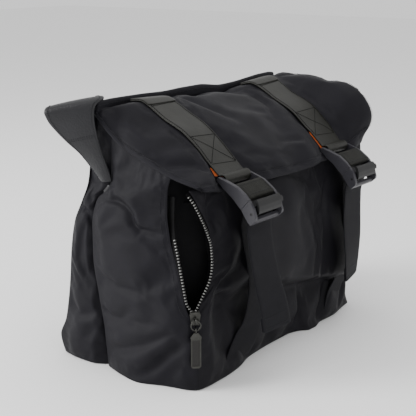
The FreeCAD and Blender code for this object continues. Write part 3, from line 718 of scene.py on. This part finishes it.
def flap_net():
    """The flap's outer face: rows from the seam to the lip, columns from the left edge to the right."""
    pressed = ((-27, 283), (-57, 265), (-85, 240.5), (-96, 228), (-105, 214.5))
    columns = [
        [(-181, 34, 291), (-181, 27, 284), (-181.5, 14, 272), (-182, -10, 256), (-182, -43, 242.5), (-181, -77, 231),
         (-179, -98, 226), (-176, -109, 223)],
        [(-178, 33, 295), (-178, 25, 289), (-177.5, 10, 276), (-177, -16, 262), (-176, -47, 249), (-174, -80, 236),
         (-172, -103, 229), (-169, -112, 221)],
        [(-168, 32, 297), (-167, 23, 295), (-166, 7, 287), (-164, -22, 273), (-162, -53, 257), (-160, -84, 240),
         (-158, -104, 230), (-156, -111, 219)],
        flap_column(-146, (-26, 281), (-57, 263), (-87, 241.5), (-103, 228.5), (-108, 216.5)),
        *(flap_column(x, *pressed) for x in (-134, -108, -83)),
        flap_column(-70, (-27, 283), (-59, 265), (-89, 243), (-105, 229.5), (-111, 215)),
        flap_column(-52, (-27, 283), (-61, 265), (-93, 244), (-110, 230), (-116, 216)),
        flap_column(-10, (-28, 281), (-62, 264), (-94, 243), (-111, 229), (-116, 214.5)),
        flap_column(35, (-28, 280.5), (-62, 264), (-93, 243), (-110, 229), (-115, 214)),
        flap_column(66, (-28, 282), (-60, 265), (-90, 243), (-105, 230), (-110, 215)),
        flap_column(83, (-27, 283.5), (-56, 266.5), (-85, 242), (-97, 229.5), (-107, 214)),
        flap_column(108, (-27, 284), (-56, 267.5), (-85, 242.5), (-97, 229.5), (-106, 214)),
        flap_column(134, (-28, 286), (-56, 269), (-85, 243.5), (-97, 230), (-107, 215)),
        flap_column(148, (-30, 292), (-58, 281), (-87, 262), (-107, 241), (-111, 218)),
        [(162, 30, 298), (162, 19, 303), (162, 2, 304), (163, -36, 301), (163, -68, 295), (163, -97, 279),
         (163, -113, 250), (161, -108, 221)],
        [(175, 28, 302), (176, 17, 305), (177, -2, 304), (178, -40, 302), (178, -70, 299), (178, -98, 286),
         (178, -115, 256), (172, -106, 222)],
        [(181, 27, 300), (183, 15, 299), (184, -3, 298), (185, -39, 295.5), (186, -70, 292), (185, -96, 280),
         (184, -112, 254), (177, -104, 224)],
    ]
    return [[column[k] for column in columns] for k in range(8)]


FLAP_OUT = (0, -0.5, 1)


def strap_mask(grid):
    """Where the flap is sewn to its straps and its edges."""
    held = rim(grid, 3)
    held[np.abs(np.abs(grid[..., 0]) - BUCKLE_X) < STRAP_HALF + 2.5] = 1
    return held


def make_flap():
    """The flap's cloth, its lining, and the folded hem round its three free edges."""
    grid = surface(flap_net(), 64, 109)
    normals = normals_of(grid, FLAP_OUT)
    grid = ripple(grid, normals, 44, 2.6, 1.5)
    grid = creased(grid, normals, (
        ([(-60, 12, 298), (-48, -20, 287), (-30, -58, 267)], 8, 1.6, 1.0),
        ([(66, 4, 298), (58, -30, 282), (34, -62, 264)], 8, 1.8, 1.2),
        ([(-20, -100, 238), (10, -88, 246), (50, -96, 241)], 7, 1.5, 1.0),
        ([(-150, -88, 240), (-140, -60, 262), (-138, -30, 282)], 4, 1.2, 0.8),
        ([(146, -98, 246), (142, -66, 270), (140, -34, 288)], 4, 1.5, 0.8),
        ([(-176, -60, 244), (-160, -76, 246), (-146, -96, 233)], 6, 1.6, 1.2),
    ))
    grid = settle(grid, strap_mask(grid), 0.25, 0.022, stiffness=0.8, cap=5)
    normals = normals_of(grid, FLAP_OUT)
    cloth = flap_part(sheet_object("flap_cloth", grid, FLAP_OUT, CLOTH_THICK), "nylon", nodes=["flap_shell"])
    inner = sheet_object("flap_lining_cloth", (grid - normals * 2.0)[:, 1:-1], FLAP_OUT, 0.7, levels=0)
    flap_part(inner, "lining", nodes=["flap_lining"])
    lines, edges = [], []
    raised = grid + normals * 0.9
    for name, rows, columns, line_rows, line_columns in (
        ("front", slice(-7, None), slice(0, None), -7, slice(0, None)),
        ("left", slice(2, None), slice(0, 5), slice(2, -6), 4),
        ("right", slice(2, None), slice(-5, None), slice(2, -6), -5),
    ):
        hem = sheet_object(f"flap_hem_{name}_fold", raised[rows, columns], FLAP_OUT, 2.8)
        edges.append(flap_part(hem, "hem", nodes=[f"flap_hem_{name}"]))
        lines.append(grid_line(grid, normals, line_rows, line_columns, 1.1))
    threads = flap_part(stitches("flap_hem_stitches", lines), "thread")
    knot = tube_object("flap_corner_knot", [(180.5, -88, 290.5), (183, -90.5, 290.5), (184.5, -93, 289)], 1.5)
    part(knot, "flap", "hem")
    return grid, normals


# ---------------------------------------------------------------- buckles and straps


def buckle_frame_of(side):
    """A buckle's own frame: origin on its lower bar's line, Y up along the strap, Z out of the bag."""
    lever = [j for j in frame["joints"] if j["name"].startswith("buckle_lever") and j["pos_m"][0] * side > 0][0]
    pin = Vector(lever["pos_m"]) / MM
    tilt = Matrix.Rotation(math.radians(BUCKLE_TILT), 3, "X")
    return pin - tilt @ Vector((0, 7, 7)), tilt


def from_buckle(side, x, along, up):
    """A point of a buckle's own frame in the bag's frame."""
    origin, tilt = buckle_frame_of(side)
    return np.array(origin + tilt @ Vector((x, along, up)))


def make_flap_strap(name, side, grid, normals):
    """The leather strap sewn down the flap, folded round the buckle's top bar, with its cross-stitched box."""
    cx = side * BUCKLE_X
    left_column = int(np.argmin(np.abs(grid[20, :, 0] - (cx - STRAP_HALF))))
    right_column = int(np.argmin(np.abs(grid[20, :, 0] - (cx + STRAP_HALF))))
    middle = (left_column + right_column) // 2
    bar = from_buckle(side, 0, 58, 3)
    flat = [p for p in grid[:, middle] + normals[:, middle] * 2.1 if bar[1] + 21 < p[1] < 24]
    loop = [bar + (0, -math.sin(a) * TOP_BAR_REACH, math.cos(a) * TOP_BAR_REACH)
            for a in np.radians([-42, -15, 15, 45, 85, 125, 165, 200, 235])]
    line = even(np.array(flat + loop + [bar + (0, 9, -2.5), bar + (0, 14, 3.0)])[:, 1:], 110)
    slant = grid[:, [left_column, right_column]]
    shift = np.interp(line[:, 0], slant[::-1, 0, 1], slant[::-1, 1, 2] - slant[::-1, 0, 2])
    shift *= np.clip((line[:, 0] - bar[1] - 8) / 20, 0, 1)
    taper = STRAP_HALF - 1.2 * np.clip((bar[1] + 22 - line[:, 0]) / 12, 0, 1)
    left = np.stack([cx - taper, line[:, 0], line[:, 1] - shift / 2], 1)
    right = np.stack([cx + taper, line[:, 0], line[:, 1] + shift / 2], 1)
    out = unit(np.cross(right - left, np.gradient((left + right) / 2, axis=0)))
    if out[10, 2] < 0:
        out = -out
    main = band_object("main", left, right, 2.2, (0, 0, 1), 0.7)
    lapped = np.flatnonzero(line[:60, 0] > -5)
    lap = band_object("lap", (left + out * 1.5)[lapped], (right + out * 1.5)[lapped], 1.6, (0, 0, 1))
    strap = join(f"flap_strap_{name}_leather", [main, lap])
    flap_part(strap, "olive_leather", nodes=[f"flap_strap_{name}"])
    descent = slice(int(np.argmin(line[:, 0])), None, -1)

    def line_at(share_from, share_to, start, end, count=26):
        """A straight thread line between two places along the strap, at shares of its width."""
        where = np.linspace(start, end, count)
        shares = np.linspace(share_from, share_to, count)[:, None]
        at_left, at_right, lift = (places_on(row[descent], line[descent, 0], where) for row in (left, right, out))
        return at_left * (1 - shares) + at_right * shares + lift * 1.2, lift

    edge = 0.06
    high_left, high_right, low_left, low_right = -58.5, -60, -87.5, -90
    lines = [line_at(edge, edge, 5, low_left, 60), line_at(1 - edge, 1 - edge, 5, low_right, 60),
             line_at(edge, 1 - edge, high_left, high_right), line_at(edge, 1 - edge, low_left, low_right),
             line_at(edge, 1 - edge, high_left, low_right), line_at(1 - edge, edge, high_right, low_left),
             line_at(0.03, 0.97, -6, -4.5)]
    threads = stitches(f"flap_strap_{name}_stitches", lines, length=2.2, radius=0.34)
    flap_part(threads, "dark_thread")
    section = [(y, float(np.interp(y, line[descent, 0], line[descent, 1])) - 2.6)
               for y in np.linspace(-80, bar[1] + 4, 10)]
    section += [(bar[1] + 5, bar[2] - 4), (bar[1] + 11, bar[2] - 1), (bar[1] + 17, bar[2] + 8)]
    points = [(x, y, z) for x in (cx - STRAP_HALF + 0.7, cx + STRAP_HALF - 1.6) for y, z in section]
    sides = len(section)
    faces = [tuple(range(sides)), tuple(reversed(range(sides, 2 * sides)))]
    faces += [(k, (k + 1) % sides, sides + (k + 1) % sides, sides + k) for k in range(sides)]
    backing = link(f"strap_backing_{name}_suede", points, faces, smooth=False)
    tidy_normals(backing)
    part(backing, "flap", "orange_leather", nodes=[f"strap_backing_{name}"])


def make_wrap(name, side):
    """The webbing wrapped over the middle of the buckle's upper frame."""
    section = even([(20.6, 9.4), (22, 7.9), (32, 7.0), (42, 6.4), (44, 7.6), (44.4, 10.0), (44, 12.4), (42.2, 14.2),
                    (33, 15.9), (23, 17.0), (21, 16.2), (20.4, 13.0), (20.6, 9.4)], 49)[:-1]
    half = 23.1
    xs = np.concatenate([[-half, -half + 0.25, -half + 0.8], np.linspace(-half + 3, half - 3, 15),
                         [half - 0.8, half - 0.25, half]])
    middle = section.mean(0)
    rings = []
    for x in xs:
        inset = 0.5 if abs(x) > half - 0.1 else (0.15 if abs(x) > half - 0.4 else 0)
        shrunk = middle + (section - middle) * (1 - inset / 8)
        rings.append([from_buckle(side, x, a, u) for a, u in shrunk])
    wrap = capped_tube(f"buckle_wrap_{name}_webbing", rings)
    part(wrap, "flap", "olive_webbing", nodes=[f"buckle_wrap_{name}"])
    normal = from_buckle(side, 0, 0, 1) - from_buckle(side, 0, 0, 0)
    xs = (-half + 2.2, half - 2.2)
    paths = [even([from_buckle(side, x, a, u) for a, u in ((23, 17.2), (33, 16.1), (41.5, 14.6))], 12) for x in xs]
    paths += [np.linspace(*(from_buckle(side, x, a, u) for x in xs), 12) for a, u in ((25, 16.95), (39.5, 15.0))]
    lines = [facing(path, normal) for path in paths]
    part(stitches(f"buckle_wrap_{name}_stitches", lines, radius=0.26), "flap", "thread", "olive_webbing")


def make_front_strap(name, side):
    """The webbing up from the base seam, round the strap bar, and its free folded tail."""
    body = f"front_strap_{name}"
    cx = side * BUCKLE_X
    bar = from_buckle(side, 0, 13, 1.5)
    around = [bar + (0, math.cos(a) * STRAP_BAR_REACH, math.sin(a) * STRAP_BAR_REACH)
              for a in np.radians([150, 110, 70, 30, 0])]
    if side < 0:
        left = [(-126, -101, 6), (-120, -104, 26), (-108, -106.5, 46), (-101, -109.5, 56), (-94, -111, 76),
                (-93, -113, 98), (-98, -114, 122), (-108, -115.5, 150), (-119, -120, 174)]
        right = [(-72, -97, 6), (-65, -105, 26), (-62, -109, 46), (-58, -110, 56), (-54, -111, 76), (-54, -113.5, 98),
                 (-58, -114.5, 122), (-68, -116.5, 150), (-80, -120, 174)]
        drop = [(-2, -137.5, 182, 1), (-4, -140, 168, 3), (-6, -145, 146, 3), (-5, -152, 116, 1), (-2, -158, 90, -2),
                (0.5, -161.5, 64, -4)]
    else:
        left = [(93, -102.5, 6), (95, -104, 24), (100, -105, 40), (111, -107, 54), (116, -111, 71), (114, -115, 95),
                (111, -117.5, 130), (106, -119, 155), (98, -122, 176)]
        right = [(136, -100, 6), (136, -101, 24), (139, -103, 40), (147, -106, 54), (155, -110, 71), (156, -112, 95),
                 (153, -115, 130), (149, -118, 155), (142, -122, 176)]
        drop = [(0, -133, 182, 2), (0, -131.5, 168, 5), (-1, -132, 146, 4), (-1, -133.5, 116, 5), (-1, -134, 90, 9),
                (-1, -133.5, 62, 14)]
    left += [(cx - 23, p[1], p[2]) for p in around[::-1]]
    right += [(cx + 23, p[1], p[2]) for p in around[::-1]]
    anchor = band_object(body + "_anchor", even(left, 70), even(right, 70), 1.6, (0, -1, 0))
    lefts, rights = [], []
    for (offset, y, z, angle), half in zip([(0, *around[0][1:], 0), *drop], (23, 24, *[24.6] * 5)):
        dx, dy = half * math.cos(math.radians(angle)), half * math.sin(math.radians(angle))
        lefts.append((cx + offset - dx, y - dy, z))
        rights.append((cx + offset + dx, y + dy, z))
    lefts, rights = even(lefts, 60), even(rights, 60)
    tail = band_object(body + "_tail", lefts, rights, 1.8, (0, -1, 0), 0.6)
    fold = band_object(body + "_fold", lefts[-9:] + (0, 1.7, 0), rights[-9:] + (0, 1.7, 0), 1.6, (0, -1, 0), 0.6)
    part(join(body + "_webbing", [anchor, tail, fold]), body, "webbing", nodes=[body])
    lines = [facing(np.linspace(a * 0.94 + b * 0.06, a * 0.06 + b * 0.94, 14) + (0, -1.0, 0), (0, -1.0, 0))
             for a, b in zip(lefts[[-3, -8]], rights[[-3, -8]])]
    part(stitches(body + "_stitches", lines, radius=0.28), body, "thread", "webbing")


def make_hardware():
    """The moulded and metal parts keep their own shape, with softened edges and their finish."""
    for name, _ in SIDES:
        for stem, look in (("buckle_frame", "buckle_plastic"), ("buckle_base", "buckle_plastic"),
                           ("buckle_lever", "dark_plastic"), ("lever_pin", "dark_plastic")):
            soften(f"{stem}_{name}", look, 0.45)
    for node in ("zip_slider", "zip_ring", "zip_pull_frame"):
        soften(node, "black_nickel", 0.3)
    soften("zip_pull_insert", "pull_rubber", 0.3)


def soften(node, look, width):
    """A frame node with its finish and slightly rounded edges."""
    thing = frame["nodes"][node]
    thing.data.materials.clear()
    thing.data.materials.append(FINISH[look])
    modifier = thing.modifiers.new("edges", "BEVEL")
    modifier.width = width * MM
    modifier.segments = 2
    modifier.limit_method = "ANGLE"
    modifier.angle_limit = math.radians(35)
    modifier.harden_normals = True


# ---------------------------------------------------------------- zip pocket

TOOTH_PITCH = 3.3


def make_chain(name, path, out):
    """A row of metal teeth along a path, as one piece."""
    line = even(path, 240)
    reach = lengths(line)
    points, faces = [], []
    box = [(0, 1, 2, 3), (7, 6, 5, 4), (0, 4, 5, 1), (1, 5, 6, 2), (2, 6, 7, 3), (3, 7, 4, 0)]
    for place in np.arange(1, reach[-1] - 1, TOOTH_PITCH):
        centre = places_on(line, reach, place)
        ahead = unit(places_on(line, reach, place + 0.5) - centre)
        side = unit(np.cross(ahead, out))
        lift = np.cross(side, ahead)
        faces += [tuple(len(points) + k for k in face) for face in box]
        for h, a, b in ((-0.9, 1.25, 0.75), (0.8, 1.0, 0.5)):
            points += [centre + side * sx * a + ahead * sy * b + lift * h
                       for sx, sy in ((1, 1), (-1, 1), (-1, -1), (1, -1))]
    teeth = link(name, points, faces)
    tidy_normals(teeth)
    for polygon in teeth.data.polygons:
        polygon.use_smooth = False
    return teeth


def make_zip(walls):
    """Both tapes, both rows of teeth, the stops, the topstitching and the dark pocket behind."""
    for name, path, inward, out in (
        ("right", RIGHT_CHAIN, (11, 0.2, 0), (0.15, -1, 0)),
        ("left", LEFT_CHAIN, (1.0, 11, 0), (-1, -0.1, 0)),
    ):
        line = even(path, 60) - np.array(out, float) * 0.9
        grid = np.stack([line + np.array(inward) * share for share in (-0.12, 0.3, 0.65, 1)], 1)
        part(sheet_object(f"zip_tape_{name}_cloth", grid, out, 0.7), "shell", "zip_cloth", nodes=[f"zip_tape_{name}"])
        teeth = make_chain(f"zip_teeth_{name}_metal", path if name == "right" else path[:6], out)
        part(teeth, "shell", "zip_metal", nodes=[f"zip_teeth_{name}"])
    stops = [tube_object("stop", [np.array(path[-1]) + (0, 0, dz) for dz in (-2.5, 0, 2.5)], 2.0)
             for path in (LEFT_CHAIN, RIGHT_CHAIN)]
    part(join("zip_top_stops_metal", stops), "shell", "zip_metal", nodes=["zip_top_stops"])
    net = []
    for z, depth in ((66, 0.0), (84, 0.4), (110, 0.8), (150, 1.0), (190, 1.0), (230, 1.0)):
        net.append([(-178, -64, z), (-172, -63 - 2 * depth, z), (-160, -66 - 6 * depth, z), (-146, -70 - 12 * depth, z),
                    (-138, -74 - 20 * depth, z), (-130, -78 - 22 * depth, z)])
    grid = surface(net, 40, 30)
    grid = ripple(grid, normals_of(grid, (-1, -1, 0)), 22, 4.0, 12.0)
    pocket = sheet_object("zip_pocket_cloth", grid, (-1, -1, 0), LINING_THICK)
    part(pocket, "shell", "lining", nodes=["zip_pocket_lining"])
    front = walls["side_left_front"]
    lines = [grid_line(front, normals_of(front, (-1, 0, 0)), slice(22, -6), column, 0.2) for column in (-2, -4)]
    part(stitches("zip_topstitching", lines, pitch=2.4, length=1.7, radius=0.24), "shell", "thread", "nylon")


# ---------------------------------------------------------------- shoulder strap

STRAP_EDGES = [
    ((-183.5, 8, 219), (-185.5, 22, 218)),
    ((-184.5, 10, 227), (-187.5, 28.5, 226)),
    ((-186, 13.5, 238), (-190.5, 36, 236)),
    ((-188, 18, 252), (-196, 44, 248)),
    ((-189.5, 22, 268), (-204, 54, 260)),
    ((-190, 25, 284), (-211, 63, 272)),
    ((-189, 26, 296), (-216, 70, 283)),
    ((-185, 25, 304), (-218.5, 73, 292)),
    ((-178, 22.5, 308.5), (-216, 75, 296.5)),
    ((-171, 28, 310.5), (-209, 79, 298)),
    ((-162, 43, 308), (-196, 88, 292)),
    ((-146, 60, 288), (-172, 96, 272)),
    ((-114, 72, 256), (-132, 101, 236)),
    ((-80, 82, 212), (-94, 106, 184)),
    ((-44, 98, 158), (-56, 112, 112)),
    ((0, 106, 122), (-4, 113, 72)),
    ((74, 106, 116), (86, 113, 66)),
    ((142, 104, 150), (172, 108, 108)),
    ((186, 80, 192), (199, 82, 148)),
    ((189, 48, 212), (193, 44, 178)),
    ((185.5, 20, 212), (186.5, 14, 194)),
]


def make_shoulder_strap():
    """The wide pebbled band: gathered at the side seam, folded over at its crest, and down behind the bag."""
    inner = spread([row[0] for row in STRAP_EDGES], 150)
    outer = spread([row[1] for row in STRAP_EDGES], 150)
    shares = np.linspace(0, 1, 15)[None, :, None]
    grid = inner[:, None] * (1 - shares) + outer[:, None] * shares
    normals = unit(np.cross(np.gradient(grid, axis=1), np.gradient(grid, axis=0)))
    if (normals[30] @ np.array((-1, -0.4, 0))).mean() < 0:
        normals = -normals
    gather = np.exp(-(np.linspace(0, 1, 150)[:, None, None] / 0.12) ** 2)
    grid = grid + normals * (1 - (2 * shares - 1) ** 2) * (2.2 * gather + 1.2)
    strap = thick_sheet("shoulder_strap_leather", grid, normals, 2.6)
    part(strap, "shoulder_strap", "strap_leather", nodes=["shoulder_strap"])
    lines = [grid_line(grid, normals, slice(4, None), column) for column in (1, -2)]
    lines += [grid_line(grid, normals, row, slice(1, -1)) for row in (30, 31)]
    part(stitches("shoulder_strap_stitches", lines, radius=0.3), "shoulder_strap", "thread", "strap_leather")
    for name, side in SIDES:
        (x0, y0, z0), (x1, y1, z1) = (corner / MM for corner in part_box(f"strap_anchor_{name}"))
        x = (x0 + x1) / 2 - 3.5 * side
        left = even([(x, y0 + 4, z0), (x, y0 + 1, z0 + 12), (x, y0, z1)], 12)
        right = even([(x, y1 - 4, z0), (x, y1 - 1, z0 + 12), (x, y1, z1)], 12)
        tab = band_object(f"strap_anchor_{name}_tab", left, right, 2.6, (side, 0, 0), 0.6)
        part(tab, "shell", "strap_leather", nodes=[f"strap_anchor_{name}"])


# ---------------------------------------------------------------- liner


def make_liner():
    """The open inner bag, seen when the flap is lifted."""
    rings = []
    for z, front, back, side in ((5, -84, 82, 173), (8, -87, 84, 174.5), (60, -86, 74, 174.5), (120, -90, 67, 174.5),
                                 (170, -92, 60, 174.5), (203, -92, 40, 174)):
        corners = [(-side, front + 34), (-side + 34, front), (side - 6, front), (side, front + 6), (side, back - 6),
                   (side - 6, back), (-side + 6, back), (-side, back - 6)]
        outline = []
        for k, (a, b) in enumerate(zip(corners, corners[1:] + corners[:1])):
            for t in np.linspace(0, 1, 12 if k % 2 else 3, endpoint=False):
                outline.append((a[0] * (1 - t) + b[0] * t, a[1] * (1 - t) + b[1] * t, z))
        rings.append(outline)
    grid = spread(rings, 40)
    grid = np.concatenate([grid, grid[:, :1]], 1)
    inward = normals_of(grid, (0, 0, 1))
    centre = grid.mean((0, 1), keepdims=True)
    if ((centre - grid) * inward).sum(2).mean() < 0:
        inward = -inward
    grid = ripple(grid, inward, 40, 3.0, 21.0)
    wall = part(thick_sheet("main_lining_wall", grid, inward, LINING_THICK), "shell", "lining", nodes=["main_lining"])
    floor_grid = surface([[(x, y, 5.2) for x in (-172, 0, 172)] for y in (-83, 0, 81)], 14, 26)
    floor = part(sheet_object("main_lining_floor", floor_grid, (0, 0, 1), LINING_THICK, levels=0), "shell", "lining")


# ---------------------------------------------------------------- stage


def set_up(name, data, place, gaze):
    """A lamp or camera that stands at a place and looks along a direction."""
    thing = bpy.data.objects.new(name, data)
    bpy.context.scene.collection.objects.link(thing)
    thing.location = place
    thing.rotation_euler = gaze.to_track_quat("-Z", "Y").to_euler()
    return thing


def make_stage():
    """A plain pale floor, soft light and a long-lens camera in front and to the left."""
    floor = link("floor", [(-6000, -6000, 0), (6000, -6000, 0), (6000, 6000, 0), (-6000, 6000, 0)], [(0, 1, 2, 3)])
    pale = bpy.data.materials.new("pale_floor")
    pale.use_nodes = True
    sockets = pale.node_tree.nodes["Principled BSDF"].inputs
    sockets["Base Color"].default_value = (0.93, 0.93, 0.93, 1)
    sockets["Roughness"].default_value = 0.9
    floor.data.materials.append(pale)
    world = bpy.data.worlds.new("studio")
    bpy.context.scene.world = world
    world.use_nodes = True
    sockets = world.node_tree.nodes["Background"].inputs
    sockets["Color"].default_value = (1, 1, 1, 1)
    sockets["Strength"].default_value = 1.0
    for name, place, size, power in (("key", (-1.4, 1.1, 1.5), 1.2, 28), ("top", (0.2, -0.2, 2.0), 1.6, 12),
                                     ("left", (-1.7, 1.5, 0.7), 1.0, 36), ("front", (-0.5, -1.9, 0.6), 1.4, 9)):
        light = bpy.data.lights.new(name, "AREA")
        light.size = size
        light.energy = power
        set_up(name, light, place, Vector((0, 0, 0.15)) - Vector(place))
    camera_data = bpy.data.cameras.new("camera")
    camera_data.lens = 89.67
    camera_data.sensor_width = 36
    heading, down = math.radians(53.6), math.radians(13.8)
    gaze = Vector((math.sin(heading) * math.cos(down), math.cos(heading) * math.cos(down), -math.sin(down)))
    bpy.context.scene.camera = set_up("camera", camera_data, (-1.0112, -0.7330, 0.4610), gaze)


# ---------------------------------------------------------------- build

made_walls = make_walls()
make_binding()
flap_grid, flap_normals = make_flap()
for strap_name, strap_side in SIDES:
    make_flap_strap(strap_name, strap_side, flap_grid, flap_normals)
    make_wrap(strap_name, strap_side)
    make_front_strap(strap_name, strap_side)
make_hardware()
make_zip(made_walls)
make_shoulder_strap()
make_liner()
make_stage()
